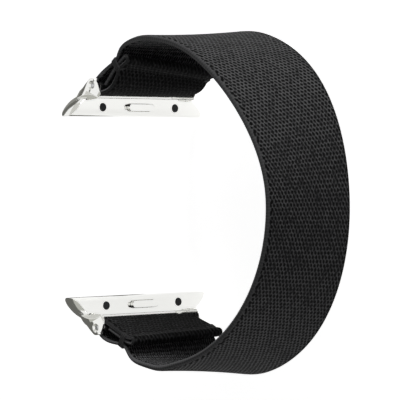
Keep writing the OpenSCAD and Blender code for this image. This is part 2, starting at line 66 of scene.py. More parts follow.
def linear(hex_colour):
    """An sRGB hex colour as the four linear numbers that a colour socket takes."""
    parts = [int(hex_colour[i:i + 2], 16) / 255 for i in (1, 3, 5)]
    return [c / 12.92 if c <= 0.04045 else ((c + 0.055) / 1.055) ** 2.4 for c in parts] + [1.0]


def add(tree, kind, inputs=None, **settings):
    """Adds a node. Inputs take numbers, sockets, or nodes, whose first output is used."""
    node = tree.nodes.new(kind)
    for name, value in settings.items():
        setattr(node, name, value)
    for key, value in (inputs or {}).items():
        if isinstance(value, bpy.types.Node):
            value = next(o for o in value.outputs if o.enabled)
        if isinstance(value, bpy.types.NodeSocket):
            tree.links.new(value, node.inputs[key])
        else:
            node.inputs[key].default_value = value
    return node


def new_material(name):
    """An empty node material and its node tree."""
    material = bpy.data.materials.new(name)
    material.use_nodes = True
    material.node_tree.nodes.clear()
    return material, material.node_tree


def end_material(material, surface):
    """Links the last shader to the material's output."""
    add(material.node_tree, "ShaderNodeOutputMaterial", {"Surface": surface})
    print(material.name, "-", len(material.node_tree.nodes), "nodes")


def finished(name, mesh):
    """An object at the origin that holds the mesh."""
    obj = bpy.data.objects.new(name, mesh)
    bpy.context.scene.collection.objects.link(obj)
    return obj


print("black #020202 is", round(linear("#020202")[0], 5), "in linear colour")

# %% [markdown]
# ## The path of the webbing
#
# Seen from its edge, the webbing is one line: it starts at the tail tucked inside the
# upper fold, turns back as a hem, runs along the flap on the wrist's side, goes round
# the bar, comes back as the outer layer, climbs over the seam and runs round the wrist
# to the same fold at the lower end. The line is built from short Bezier curves and
# arcs with the same sizes as the CAD model, only with more stations, so that it stays
# round at the bar and soft at the seam.

# %% Sizes of the webbing, in millimetres
STRAP_W = 23.8
WEBBING_T = 1.2     # its thickness in the loop
FOLDED_T = 0.9      # where it goes round a bar
SEWN_T = 0.74       # each layer, where the fold is sewn down
LAYER_GAP = 0.08    # between neighbouring layers at the seam
CREST_BACK = 13.5   # how far behind the back plane the loop is tallest
BARREL_R = 0.75     # the tube of the spring bar
BAR_FIT = 0.16      # between the webbing and that tube
BAR = np.array([23.4, 1.9])               # the upper bar, from the middle of the back plane
SHIFT = np.array([-0.2, 18.9, 17.578])    # from this sketch to the frame of the CAD model
WRAP_R = BARREL_R + BAR_FIT + FOLDED_T / 2
LAYER_PITCH = SEWN_T + LAYER_GAP
HEM_R = 0.75 * SEWN_T
TAIL_R = WRAP_R + 0.6
print("wrap radius", WRAP_R, "mm, layers", round(LAYER_PITCH, 2), "mm apart at the seam")

# %% [markdown]
# Each fold has its own sizes along each edge of the strap. back and out place its seam,
# behind and outside the bar. Four slopes in degrees follow the layers: seam where they
# are sewn, dip where the outer layer comes to the seam, climb where it leaves it, and
# hem where the hem sticks out. bulge is how much further outward than straight the
# outer layer leaves the bar, flap is the slope of the flap there, and tail is where the
# tucked-in end lies, as an angle round the bar. hem_len and slack are the lengths of
# the hem and of the flap's first stretch.
#
# The loop has a depth and, for its upper and lower half, a height (rise), a measure of
# how pointed it is (point), and a swell (full), explained below.

# %% Sizes of the folds and of the loop
UPPER_LEFT = dict(back=5.9, out=4.0, seam=35, dip=25, bulge=9, climb=66, hem=30,
                  hem_len=2.1, flap=0, slack=5.2, tail=176)
UPPER_RIGHT = dict(UPPER_LEFT, out=2.2, seam=23, dip=13, hem=18)
LOWER_LEFT = dict(back=6.35, out=2.45, seam=27, dip=6, bulge=66, climb=43, hem=12,
                  hem_len=1.7, flap=25, slack=2.0, tail=170)
LOWER_RIGHT = dict(LOWER_LEFT, out=1.75)
LEFT = dict(upper=UPPER_LEFT, lower=LOWER_LEFT, depth=44.8, rise=(32.0, 30.9),
            point=(0.032, 0.002), full=((0.55, -10.5, 4.2), (0.5, -14.3, 3.5)))
RIGHT = dict(upper=UPPER_RIGHT, lower=LOWER_RIGHT, depth=42.6, rise=(33.65, 33.25),
             point=(-0.014, -0.006), full=((0.27, -19.5, 7.0), (0.27, -19.5, 7.0)))
SAG = ((0.45, -14.0, 6.0), (0.6, -14.0, 6.0))
print("depth", LEFT["depth"], "mm along the left edge,", RIGHT["depth"], "mm along the right")


# %% Directions, and a stretch of the line
def along(angle):
    """Straight back from the bar, turned outward by an angle in degrees."""
    return np.array([math.sin(math.radians(angle)), -math.cos(math.radians(angle))])


def outward(angle):
    """Square to that, on the outer side."""
    return np.array([math.cos(math.radians(angle)), math.sin(math.radians(angle))])


def on_bar(radius, angle):
    """A point round the bar, at an angle from straight forward."""
    return BAR + radius * np.array([math.sin(math.radians(angle)),
                                    math.cos(math.radians(angle))])


# How many stations each stretch has in the CAD model, and how many times as many here
TAIL_STEPS = 4
HEM_STEPS = 3
TURN_STEPS = 8
FLAP_STEPS = 8
WRAP_STEPS = 14
CLIMB_STEPS = 10
LOOP_STEPS = 40
FINE = 4


def curve(a, b, c, d, half_0, half_1, steps):
    """Stations along a Bezier curve after its first point: x, y and half thickness."""
    rows = []
    for i in range(1, steps * FINE + 1):
        t = i / (steps * FINE)
        p = (1 - t) ** 3 * a + 3 * (1 - t) ** 2 * t * b + 3 * (1 - t) * t * t * c + t ** 3 * d
        rows.append([p[0], p[1], half_0 + (half_1 - half_0) * t])
    return rows


print("30 degrees outward from straight back:", along(30).round(3))

# %% [markdown]
# A Bezier curve leaves each end in a set direction, and how far it keeps to it is a
# length in millimetres, called a run here. Longer runs make softer bends. The outer
# layer's stretch between the bar and the seam gives its two runs as a share of it.

# %% One end of the strap
TAIL_RUN = 1.4
SEAM_RUN = 0.6
HEM_RUN = 0.5
FLAP_RUN = 1.1
CLIMB_RUN = 3
CREST_RUN = 8.5
LAYER_SHARE = 0.4


def fold(s, rise):
    """Rows of x, y and half thickness: from the tail, round the bar, to the crest."""
    thin, thick = SEWN_T / 2, FOLDED_T / 2
    seam = BAR + [s["out"], -s["back"]]
    outer = seam + LAYER_PITCH * outward(s["seam"])
    flap = seam - LAYER_PITCH * outward(s["seam"])
    hem = seam - LAYER_PITCH / 2 * outward(s["seam"]) + s["hem_len"] * along(s["hem"])
    hem_in = hem + HEM_R * outward(s["hem"])
    hem_out = hem - HEM_R * outward(s["hem"])
    tail = on_bar(TAIL_R, s["tail"])
    reach = outer - BAR
    far = float(np.linalg.norm(reach))
    leave = (math.degrees(math.atan2(reach[0], reach[1]))
             - math.degrees(math.acos(WRAP_R / far)) - s["bulge"])
    heading = np.array([math.cos(math.radians(leave)), -math.sin(math.radians(leave))])
    start = -90 - s["flap"]
    off, on = on_bar(WRAP_R, start), on_bar(WRAP_R, leave)
    crest = np.array([rise - WEBBING_T / 2, -CREST_BACK])
    rows = [[tail[0], tail[1], thin]]
    rows += curve(tail, (2 * tail + seam) / 3, seam - TAIL_RUN * along(s["seam"]), seam,
                  thin, thin, TAIL_STEPS)
    rows += curve(seam, seam + SEAM_RUN * along(s["seam"]), hem_in - HEM_RUN * along(s["hem"]),
                  hem_in, thin, thin, HEM_STEPS)
    for i in range(1, TURN_STEPS * FINE + 1):
        a = math.radians(90 - 180 * i / (TURN_STEPS * FINE))
        p = hem + HEM_R * (math.cos(a) * along(s["hem"]) + math.sin(a) * outward(s["hem"]))
        rows.append([p[0], p[1], thin])
    rows += curve(hem_out, hem_out - HEM_RUN * along(s["hem"]),
                  flap + SEAM_RUN * along(s["seam"]), flap, thin, thin, HEM_STEPS)
    rows += curve(flap, flap - FLAP_RUN * along(s["seam"]), off + s["slack"] * along(s["flap"]),
                  off, thin, thick, FLAP_STEPS)
    for i in range(1, WRAP_STEPS * FINE + 1):
        p = on_bar(WRAP_R, start + (leave - start) * i / (WRAP_STEPS * FINE))
        rows.append([p[0], p[1], thick])
    rows += curve(on, on + LAYER_SHARE * far * heading,
                  outer - LAYER_SHARE * far * along(s["dip"]), outer, thick, thin, FLAP_STEPS)
    rows += curve(outer, outer + CLIMB_RUN * along(s["climb"]), crest + [0, CREST_RUN], crest,
                  thin, WEBBING_T / 2, CLIMB_STEPS)
    return np.array(rows)


print("stations in a fold:", len(fold(UPPER_LEFT, LEFT["rise"][0])))

# %% [markdown]
# The loop itself is two quarters of an ellipse, one for each end, and a third harmonic
# makes a quarter a little more pointed or blunt. The two edges of the strap follow
# their own loops, because the band hangs deeper along its left edge. Soft webbing isn't
# a perfect ellipse: near each crest an edge stands a little fuller, and the middle of
# the width sags between the two edges. Both are smooth swells of about half a
# millimetre, given by their height, their place and their reach.

# %% The whole route along each edge
CREST_X = 28.3    # mm from the middle, past which a station belongs to a crest
FADE = 41         # stations over which a swell fades out at its ends
SMOOTHINGS = 6    # passes that blend each stretch of the line into the next


def loop(edge):
    """Both quarters of the loop, from the upper crest to the lower one."""
    steps = LOOP_STEPS * FINE
    rows = []
    for i in range(1, steps):
        t = math.radians(90 - 180 * i / steps)
        k = 1 if t < 0 else 0
        a = edge["depth"] - WEBBING_T / 2 - CREST_BACK
        b = edge["rise"][k] - WEBBING_T / 2
        p = edge["point"][k]
        rows.append([b * (math.sin(t) - p * (math.sin(3 * t) + math.sin(t))),
                     -CREST_BACK - a * (math.cos(t) + p * (math.cos(3 * t) - math.cos(t))),
                     WEBBING_T / 2])
    return np.array(rows)


def swell(rows, swells):
    """A smooth bump by depth: its height, its place and its reach, for each half."""
    k = (rows[:, 0] < 0).astype(int)
    height, place, reach = np.array(swells)[k].T
    return height * np.exp(-((rows[:, 1] - place) / reach) ** 2)


def faded(values):
    """The running mean of a value along the strap."""
    return np.convolve(np.pad(values, FADE // 2, "edge"), np.full(FADE, 1 / FADE), "valid")


def route(edge):
    """The line of one edge from tail to tail, with its swells."""
    lower = fold(edge["lower"], edge["rise"][1])[::-1].copy()
    lower[:, 0] *= -1
    rows = np.vstack([fold(edge["upper"], edge["rise"][0]), loop(edge), lower])
    for _ in range(SMOOTHINGS):
        rows[1:-1] = (rows[:-2] + 2 * rows[1:-1] + rows[2:]) / 4
    outwards = np.where(np.abs(rows[:, 0]) > CREST_X, np.sign(rows[:, 0]), 0)
    rows[:, 0] += faded(outwards) * swell(rows, edge["full"])
    return rows


left, right = route(LEFT), route(RIGHT)
middle = (left + right) / 2
steps_mm = np.linalg.norm(np.diff(middle[:, :2], axis=0), axis=1)
run_mm = np.concatenate([[0.0], np.cumsum(steps_mm)])
FLAP_MM = run_mm[np.argmax(middle[:len(middle) // 2, 1])]    # at the front of the upper bar
print(len(left), "stations,", round(run_mm[-1], 1), "mm of webbing,",
      round(FLAP_MM, 1), "mm of it from the tail's end to the upper bar")

# %% [markdown]
# ## The strap
#
# A strap is a long shape with one section, so it could be a curve with a bevel. That
# would give both edges one path, though, and this band is skewed. A loft between two
# rails does it: the rails are a plain mesh of points, one row for each edge, and a
# Geometry Nodes tree places every point of the section between them. Each end has one
# more station of no thickness, and merging closes it.


# %% The rails, with what the loft reads from them
def normals(rows):
    """Unit directions square to the line, towards its outer face."""
    d = np.gradient(rows[:, :2], axis=0)
    n = np.stack([-d[:, 1], d[:, 0]], 1)
    return n / np.linalg.norm(n, axis=1, keepdims=True)


def with_ends(rows):
    """The rows with the first and the last one said twice, for the two closed ends."""
    return np.concatenate([rows[:1], rows, rows[-1:]])


def rail_points(rows, z):
    """The points of one rail, their normals, and half the thickness there."""
    n = with_ends(normals(rows))
    rows = with_ends(rows)
    points = np.column_stack([rows[:, :2], np.full(len(rows), z)]) + SHIFT
    half = rows[:, 2].copy()
    half[0] = half[-1] = 0
    return points * MM, n, half


def points_object(name, points, **attributes):
    """A mesh of loose points with named numbers or vectors on them."""
    mesh = bpy.data.meshes.new(name)
    mesh.from_pydata([tuple(p) for p in points], [], [])
    for key, values in attributes.items():
        values = np.asarray(values, float)
        kind = "FLOAT_VECTOR" if values.ndim == 2 else "FLOAT"
        store = mesh.attributes.new(key, kind, "POINT")
        store.data.foreach_set("vector" if values.ndim == 2 else "value",
                               values.astype(np.float32).ravel())
    return finished(name, mesh)


left_p, left_n, half = rail_points(left, STRAP_W / 2)
right_p, right_n, _ = rail_points(right, -STRAP_W / 2)
run = with_ends(run_mm)
stations = len(left_p)
sag = with_ends(faded(np.where(np.abs(middle[:, 0]) > CREST_X, swell(middle, SAG), 0)))
side_normal = np.hstack([np.vstack([left_n, right_n]), np.zeros((2 * stations, 1))])
rails = points_object("strap_rails", np.vstack([left_p, right_p]), side_normal=side_normal,
                      half_mm=np.tile(half, 2), run_mm=np.tile(run, 2), sag_mm=np.tile(sag, 2))
print("rails:", stations, "stations on each")

# %% [markdown]
# The section is drawn once. Along each edge the selvage is a rim, rounded over 0.7 mm,
# with one fine groove, and the row of needle holes beside it lies in a shallow trough.
# Points are close together there and far apart in the flat middle.

# %% The section of the webbing, by distance from its edge in millimetres
EDGE_STEPS = [0.0, 0.02, 0.06, 0.12, 0.2, 0.28, 0.34, 0.4, 0.46, 0.52, 0.6, 0.68, 0.76,
              0.84, 0.92, 1.0, 1.08, 1.18, 1.32, 1.6, 2.2, 3.2, 4.8, 6.6, 8.8, STRAP_W / 2]
RIM_R = 0.7
GROOVE = dict(at=0.4, depth=0.08, width=0.06)
TROUGH = dict(at=0.74, depth=0.08, width=0.14)


def share_at(e):
    """Share of the half thickness at a distance e from the edge."""
    return 0.0 if e <= 0 else math.sqrt(1 - max(0.0, 1 - e / RIM_R) ** 2)


def relief_at(e):
    """How far the surface is sunk there, in millimetres."""
    return -sum(g["depth"] * math.exp(-((e - g["at"]) / g["width"]) ** 2)
                for g in (GROOVE, TROUGH))


half_face = [(STRAP_W / 2 - e, share_at(e), relief_at(e)) for e in EDGE_STEPS]
outer_face = half_face + [(-v, s, r) for v, s, r in half_face[-2::-1]]
inner_face = [(v, -s, -r) for v, s, r in outer_face[::-1]][1:]
section = np.array(outer_face + inner_face)
section_obj = points_object("strap_section", section)
print("section:", len(section), "points")

# %% [markdown]
# The loft starts from a plain grid with one row of points for each station. A point's
# index divided by the length of a row gives its station, and the rest gives its place
# in the section, which is read from the section's own points. The second rail's
# stations follow the first's in the same mesh.

# %% Geometry Nodes: the grid, and which station and section point each point is
WELD = 0.000002    # metres, far below the spacing of the points
NUDGE = 0.0001     # keeps rounding from dropping a point to the station before
CLOSED = 0.01      # mm, under which a station is a closed end
loft = bpy.data.node_groups.new("loft_between_rails", "GeometryNodeTree")
for name, kind in (("Rails", "NodeSocketGeometry"), ("Section", "NodeSocketObject"),
                   ("Stations", "NodeSocketInt"), ("Section points", "NodeSocketInt"),
                   ("Width", "NodeSocketFloat"), ("Material", "NodeSocketMaterial")):
    loft.interface.new_socket(name, in_out="INPUT", socket_type=kind)
loft.interface.new_socket("Strap", in_out="OUTPUT", socket_type="NodeSocketGeometry")
given = add(loft, "NodeGroupInput").outputs
grid = add(loft, "GeometryNodeMeshGrid", {
    "Vertices X": given["Stations"], "Vertices Y": given["Section points"]})
index = add(loft, "GeometryNodeInputIndex")
ratio = add(loft, "ShaderNodeMath", {0: index, 1: given["Section points"]}, operation="DIVIDE")
nudged = add(loft, "ShaderNodeMath", {0: ratio, 1: NUDGE}, operation="ADD")
station = add(loft, "ShaderNodeMath", {0: nudged}, operation="FLOOR")
station_right = add(loft, "ShaderNodeMath", {0: station, 1: given["Stations"]}, operation="ADD")
before = add(loft, "ShaderNodeMath", {
    0: station, 1: given["Section points"]}, operation="MULTIPLY")
place = add(loft, "ShaderNodeMath", {0: index, 1: before}, operation="SUBTRACT")
shape = add(loft, "GeometryNodeObjectInfo", {"Object": given["Section"]})
here = add(loft, "GeometryNodeInputPosition")
spot = add(loft, "GeometryNodeSampleIndex", {
    "Geometry": shape.outputs["Geometry"], "Value": here, "Index": place},
    data_type="FLOAT_VECTOR")
spot_xyz = add(loft, "ShaderNodeSeparateXYZ", {0: spot})
across_share = add(loft, "ShaderNodeMath", {
    0: spot_xyz.outputs[0], 1: given["Width"]}, operation="DIVIDE")
share = add(loft, "ShaderNodeMath", {0: across_share, 1: 0.5}, operation="ADD")
print("loft tree, first part:", len(loft.nodes), "nodes")

# %% Geometry Nodes: what the two rails say at that station
taken = {}
for name, label, kind, which in (("left", "", "FLOAT_VECTOR", station),
                                 ("right", "", "FLOAT_VECTOR", station_right),
                                 ("left_n", "side_normal", "FLOAT_VECTOR", station),
                                 ("right_n", "side_normal", "FLOAT_VECTOR", station_right),
                                 ("half", "half_mm", "FLOAT", station),
                                 ("run", "run_mm", "FLOAT", station),
                                 ("sag", "sag_mm", "FLOAT", station)):
    value = here
    if label:
        value = add(loft, "GeometryNodeInputNamedAttribute", {"Name": label}, data_type=kind)
    taken[name] = add(loft, "GeometryNodeSampleIndex", {
        "Geometry": given["Rails"], "Value": value, "Index": which}, data_type=kind)
print("taken from the rails:", ", ".join(taken))

# %% [markdown]
# Every point then stands between the two rails, by its share of the width. From there
# it moves along the normal by its half thickness, plus the relief of the edge, less the
# sag, which is greatest in the middle of the width. The two closed ends have no relief.

# %% Geometry Nodes: put each point in its place
middle_at = add(loft, "ShaderNodeMix", {
    0: share, 4: taken["right"], 5: taken["left"]}, data_type="VECTOR")
normal_at = add(loft, "ShaderNodeMix", {
    0: share, 4: taken["right_n"], 5: taken["left_n"]}, data_type="VECTOR")
unit_normal = add(loft, "ShaderNodeVectorMath", {0: normal_at}, operation="NORMALIZE")
thick = add(loft, "ShaderNodeMath", {
    0: spot_xyz.outputs[1], 1: taken["half"]}, operation="MULTIPLY")
open_end = add(loft, "ShaderNodeMath", {0: taken["half"], 1: CLOSED}, operation="GREATER_THAN")
relief = add(loft, "ShaderNodeMath", {0: spot_xyz.outputs[2], 1: open_end}, operation="MULTIPLY")
side = add(loft, "ShaderNodeMath", {0: across_share, 1: 2.0}, operation="MULTIPLY")
side_2 = add(loft, "ShaderNodeMath", {0: side, 1: side}, operation="MULTIPLY")
middle_share = add(loft, "ShaderNodeMath", {0: 1.0, 1: side_2}, operation="SUBTRACT")
drop = add(loft, "ShaderNodeMath", {0: middle_share, 1: taken["sag"]}, operation="MULTIPLY")
over = add(loft, "ShaderNodeMath", {0: thick, 1: relief}, operation="ADD")
lift = add(loft, "ShaderNodeMath", {0: over, 1: drop}, operation="SUBTRACT")
lift_m = add(loft, "ShaderNodeMath", {0: lift, 1: MM}, operation="MULTIPLY")
offset = add(loft, "ShaderNodeVectorMath", {0: unit_normal, "Scale": lift_m}, operation="SCALE")
final = add(loft, "ShaderNodeVectorMath", {0: middle_at, 1: offset}, operation="ADD")
weave_at = add(loft, "ShaderNodeCombineXYZ", {
    0: taken["run"], 1: spot_xyz.outputs[0], 2: spot_xyz.outputs[1]})
stored = add(loft, "GeometryNodeStoreNamedAttribute", {
    "Geometry": grid.outputs["Mesh"], "Name": "weave", "Value": weave_at},
    data_type="FLOAT_VECTOR", domain="POINT")
placed = add(loft, "GeometryNodeSetPosition", {"Geometry": stored, "Position": final})
closed = add(loft, "GeometryNodeMergeByDistance", {"Geometry": placed, "Distance": WELD})
smooth = add(loft, "GeometryNodeSetShadeSmooth", {"Geometry": closed})
real = add(loft, "GeometryNodeRealizeInstances", {"Geometry": smooth})
painted = add(loft, "GeometryNodeSetMaterial", {"Geometry": real, "Material": given["Material"]})
add(loft, "NodeGroupOutput", {"Strap": painted})
print("loft tree:", len(loft.nodes), "nodes")

# %% [markdown]
# ## The weave
#
# Elastic webbing is woven from bulky nylon yarn over rubber threads. Its outer face is
# a net of yarn with small dark gaps in a brick pattern: rows 0.8 mm apart along the
# strap, and gaps 0.95 mm apart in a row, shifted by half in every other row. No
# photograph of cloth is used: the pattern is worked out from the two distances that
# the loft stored on the strap, the millimetres along it and across it, so it follows
# every fold.
#
# A brick pattern is what two families of slanted grooves give where they cross, with
# the rows as a third family. So three numbers are enough: how many grooves of each
# family lie between a point and the start. A little noise makes the yarn wander as it
# does in real cloth.

# %% The strap's material: black nylon elastic webbing, woven
ROW_PITCH = 0.80    # mm between rows of gaps, along the strap
GAP_PITCH = 0.95    # mm between gaps in a row
INNER_ROW = 1.1     # mm, the same along the ribs of the inner face
INNER_GAP = 0.58    # mm between those ribs
WANDER = 0.35       # mm from side to side, how far the yarn wanders
webbing, tree = new_material("black_nylon_elastic_woven")
stored_at = add(tree, "ShaderNodeAttribute", attribute_name="weave")
waver = add(tree, "ShaderNodeTexNoise", {
    "Vector": stored_at.outputs["Vector"], "Scale": 0.7, "Detail": 2.0, "Roughness": 0.6})
waver_mid = add(tree, "ShaderNodeVectorMath", {
    0: waver.outputs["Color"], 1: (0.5, 0.5, 0.5)}, operation="SUBTRACT")
waver_mm = add(tree, "ShaderNodeVectorMath", {
    0: waver_mid, 1: (WANDER, WANDER, 0.0)}, operation="MULTIPLY")
wavy = add(tree, "ShaderNodeVectorMath", {
    0: stored_at.outputs["Vector"], 1: waver_mm}, operation="ADD")
plain = add(tree, "ShaderNodeSeparateXYZ", {0: stored_at.outputs["Vector"]})
is_outer = add(tree, "ShaderNodeMath", {0: plain.outputs[2], 1: 0.0}, operation="GREATER_THAN")
counted_outer = add(tree, "ShaderNodeVectorMath", {
    0: wavy, 1: (1 / ROW_PITCH, 1 / GAP_PITCH, 0.0)}, operation="MULTIPLY")
counted_inner = add(tree, "ShaderNodeVectorMath", {
    0: wavy, 1: (1 / INNER_ROW, 1 / INNER_GAP, 0.0)}, operation="MULTIPLY")
counted = add(tree, "ShaderNodeMix", {
    0: is_outer, 4: counted_inner, 5: counted_outer}, data_type="VECTOR")
counts = add(tree, "ShaderNodeSeparateXYZ", {0: counted.outputs[1]})
rising = add(tree, "ShaderNodeMath", {
    0: counts.outputs[0], 1: 0.5, 2: counts.outputs[1]}, operation="MULTIPLY_ADD")
falling = add(tree, "ShaderNodeMath", {
    0: counts.outputs[0], 1: -0.5, 2: counts.outputs[1]}, operation="MULTIPLY_ADD")
grooves = add(tree, "ShaderNodeCombineXYZ", {0: rising, 1: falling, 2: counts.outputs[0]})
print("about", round(run_mm[-1] / ROW_PITCH), "rows of", round(STRAP_W / GAP_PITCH), "gaps")

# %% [markdown]
# The height of the cloth is one level plus three cosines, one for each family. The
# rising grooves are deeper, which slants each gap. A random number for each gap, found
# by rounding the first two counts, opens some wide and closes others. The inner face
# is flatter. Over the two crests the gaps are twice as deep: the cloth opens where it is
# bent there, and the deeper, darker gaps are also painted shade for the shadow in its
# relief. It is pulled flat on the two flaps. Noise drawn out along the yarn stands for
# its loose filaments.

# %% The gaps
OPEN_FROM = 8 * MM     # out from the middle of the band, where the gaps start to deepen
OPEN_FULL = 27 * MM    # and where they are deepest, partly opened cloth and partly painted shade
FLAP_FADE = 1          # mm to either side of a flap's end, over which its look fades
LEVEL = 0.55           # middle height of the cloth
FAMILIES = (-0.21, -0.14, -0.16)    # rising grooves, falling grooves and rows
FILAMENT = (2.2, 3.6, 0.0)          # steps of the noise in a millimetre, along and across
half_run = run_mm[-1] / 2
turned_by = add(tree, "ShaderNodeVectorMath", {
    0: grooves, "Scale": 2 * math.pi}, operation="SCALE")
depths = add(tree, "ShaderNodeVectorMath", {0: turned_by}, operation="COSINE")
pattern = add(tree, "ShaderNodeVectorMath", {
    0: depths, 1: FAMILIES}, operation="DOT_PRODUCT")
rounded = add(tree, "ShaderNodeVectorMath", {0: grooves, 1: (0.5, 0.5, 0.5)}, operation="ADD")
gap_id = add(tree, "ShaderNodeVectorMath", {0: rounded}, operation="FLOOR")
chance = add(tree, "ShaderNodeTexWhiteNoise", {"Vector": gap_id}, noise_dimensions="2D")
uneven = add(tree, "ShaderNodeMapRange", {
    "Value": chance.outputs["Value"], "To Min": 0.3, "To Max": 1.7})
flatter = add(tree, "ShaderNodeMapRange", {"Value": is_outer, "To Min": 0.55, "To Max": 1.3})
strap_at = add(tree, "ShaderNodeTexCoord")
strap_xyz = add(tree, "ShaderNodeSeparateXYZ", {0: strap_at.outputs["Object"]})
off_middle = add(tree, "ShaderNodeMath", {0: strap_xyz.outputs[0]}, operation="ABSOLUTE")
# Deeper, darker gaps towards the crests: partly the cloth opening where it bends, partly painted
# shade for the relief
opened_with_painted_shade = add(tree, "ShaderNodeMapRange", {
    "Value": off_middle, "From Min": OPEN_FROM, "From Max": OPEN_FULL, "To Min": 1.0,
    "To Max": 2.0})
from_centre = add(tree, "ShaderNodeMath", {
    0: plain.outputs[0], 1: half_run}, operation="SUBTRACT")
from_centre_mm = add(tree, "ShaderNodeMath", {0: from_centre}, operation="ABSOLUTE")
on_flap = add(tree, "ShaderNodeMapRange", {
    "Value": from_centre_mm, "From Min": half_run - FLAP_MM - FLAP_FADE,
    "From Max": half_run - FLAP_MM + FLAP_FADE})
pulled_flat = add(tree, "ShaderNodeMapRange", {"Value": on_flap, "To Min": 1.0, "To Max": 0.4})
open_and_painted_shade_here = add(tree, "ShaderNodeMath", {0: opened_with_painted_shade, 1: pulled_flat}, operation="MULTIPLY")
uneven_here = add(tree, "ShaderNodeMath", {0: uneven, 1: open_and_painted_shade_here}, operation="MULTIPLY")
contrast = add(tree, "ShaderNodeMath", {0: uneven_here, 1: flatter}, operation="MULTIPLY")
net = add(tree, "ShaderNodeMath", {
    0: pattern.outputs["Value"], 1: contrast, 2: LEVEL}, operation="MULTIPLY_ADD")
drawn_out = add(tree, "ShaderNodeVectorMath", {0: wavy, 1: FILAMENT}, operation="MULTIPLY")
filaments = add(tree, "ShaderNodeTexNoise", {
    "Vector": drawn_out, "Scale": 1.0, "Detail": 3.0}, noise_dimensions="2D")
loose = add(tree, "ShaderNodeMapRange", {
    "Value": filaments.outputs[0], "To Min": -0.55, "To Max": 0.55})
ridge = add(tree, "ShaderNodeMath", {0: net, 1: loose}, operation="ADD")
print("the flaps' look ends", round(FLAP_MM, 1), "mm from each tail")

# %% [markdown]
# The selvage has no gaps. Faint ribs cross it where the weft turns back, and beside it
# is a row of dark needle holes, 1.8 mm apart and drawn out along the strap.

# %% Where the selvage and its holes are
RIM_IN = 0.5        # mm from the edge, where the weave starts to give way to the selvage
RIM_OUT = 0.4       # and where it has
RIB_PITCH = 0.6     # mm between the ribs of the selvage
HOLE_PITCH = 1.8    # mm between needle holes
HOLE_LONG = 0.9     # under 1, it draws a hole out along the strap
HOLE_DARK = 0.18    # mm from a hole's middle, as far as it is black
HOLE_END = 0.34     # and where it ends
from_middle = add(tree, "ShaderNodeMath", {0: plain.outputs[1]}, operation="ABSOLUTE")
on_rim = add(tree, "ShaderNodeMapRange", {
    "Value": from_middle, "From Min": STRAP_W / 2 - RIM_IN, "From Max": STRAP_W / 2 - RIM_OUT})
rib = add(tree, "ShaderNodeMath", {
    0: plain.outputs[0], 1: 2 * math.pi / RIB_PITCH}, operation="MULTIPLY")
rib_wave = add(tree, "ShaderNodeMath", {0: rib}, operation="SINE")
rim_ridge = add(tree, "ShaderNodeMapRange", {
    "Value": rib_wave, "From Min": -1.0, "From Max": 1.0, "To Min": 0.78, "To Max": 0.9})
cloth = add(tree, "ShaderNodeMix", {0: on_rim, 2: ridge, 3: rim_ridge}, data_type="FLOAT")
hole_at = add(tree, "ShaderNodeMath", {0: plain.outputs[0], 1: HOLE_PITCH}, operation="DIVIDE")
hole_in = add(tree, "ShaderNodeMath", {0: hole_at}, operation="FRACT")
hole_u = add(tree, "ShaderNodeMath", {0: hole_in, 1: 0.5}, operation="SUBTRACT")
hole_u_mm = add(tree, "ShaderNodeMath", {
    0: hole_u, 1: HOLE_LONG * HOLE_PITCH}, operation="MULTIPLY")
hole_v_mm = add(tree, "ShaderNodeMath", {
    0: from_middle, 1: STRAP_W / 2 - TROUGH["at"]}, operation="SUBTRACT")
hole_xy = add(tree, "ShaderNodeCombineXYZ", {0: hole_u_mm, 1: hole_v_mm})
hole_far = add(tree, "ShaderNodeVectorMath", {0: hole_xy}, operation="LENGTH")
no_hole = add(tree, "ShaderNodeMapRange", {
    "Value": hole_far.outputs["Value"], "From Min": HOLE_DARK, "From Max": HOLE_END})
height = add(tree, "ShaderNodeMath", {0: cloth, 1: no_hole}, operation="MULTIPLY")
print("about", round(run_mm[-1] / HOLE_PITCH), "needle holes along each edge")

# %% [markdown]
# Black nylon is a very dark grey: its yarn catches a little light and its gaps none.
# The flaps are painted a shade darker than the rest of the same face: painted shade for
# the watch, which is not built here and keeps the light from them. The whole inner face
# is painted lighter: painted light for the light that reaches the inside of the loop.

# %% Colour, sheen and relief of the webbing
OUTER_SHADE = 0.8
# painted shade: the outer face is drawn darker on the flaps, where the watch shades them
FLAP_PAINTED_SHADE = 0.43
INNER_PAINTED_LIGHT = 1.5    # painted light: the whole inner face is drawn 1.5 times lighter
yarn_colour = add(tree, "ShaderNodeValToRGB", {0: height})
stops = yarn_colour.color_ramp.elements
stops[0].position, stops[0].color = 0.26, linear("#020202")
stops[1].position, stops[1].color = 0.96, linear("#646465")
middle_stop = stops.new(0.56)
middle_stop.color = linear("#272728")
# Painted shade on the flaps and painted light on the inner face, multiplied into the yarn colour
outer_shade = add(tree, "ShaderNodeMapRange", {
    "Value": on_flap, "To Min": OUTER_SHADE, "To Max": FLAP_PAINTED_SHADE})
shade = add(tree, "ShaderNodeMix", {
    0: is_outer, 2: INNER_PAINTED_LIGHT, 3: outer_shade}, data_type="FLOAT")
colour_with_painted_light = add(tree, "ShaderNodeVectorMath", {
    0: yarn_colour.outputs["Color"], "Scale": shade}, operation="SCALE")
relief_bump = add(tree, "ShaderNodeBump", {
    "Strength": 1.0, "Distance": 0.06 * MM, "Height": height})
cloth_shader = add(tree, "ShaderNodeBsdfPrincipled", {
    "Base Color": colour_with_painted_light, "Roughness": 0.8, "Specular IOR Level": 0.05, "Sheen Weight": 0.01,
    "Sheen Roughness": 0.5, "Normal": relief_bump})
end_material(webbing, cloth_shader)


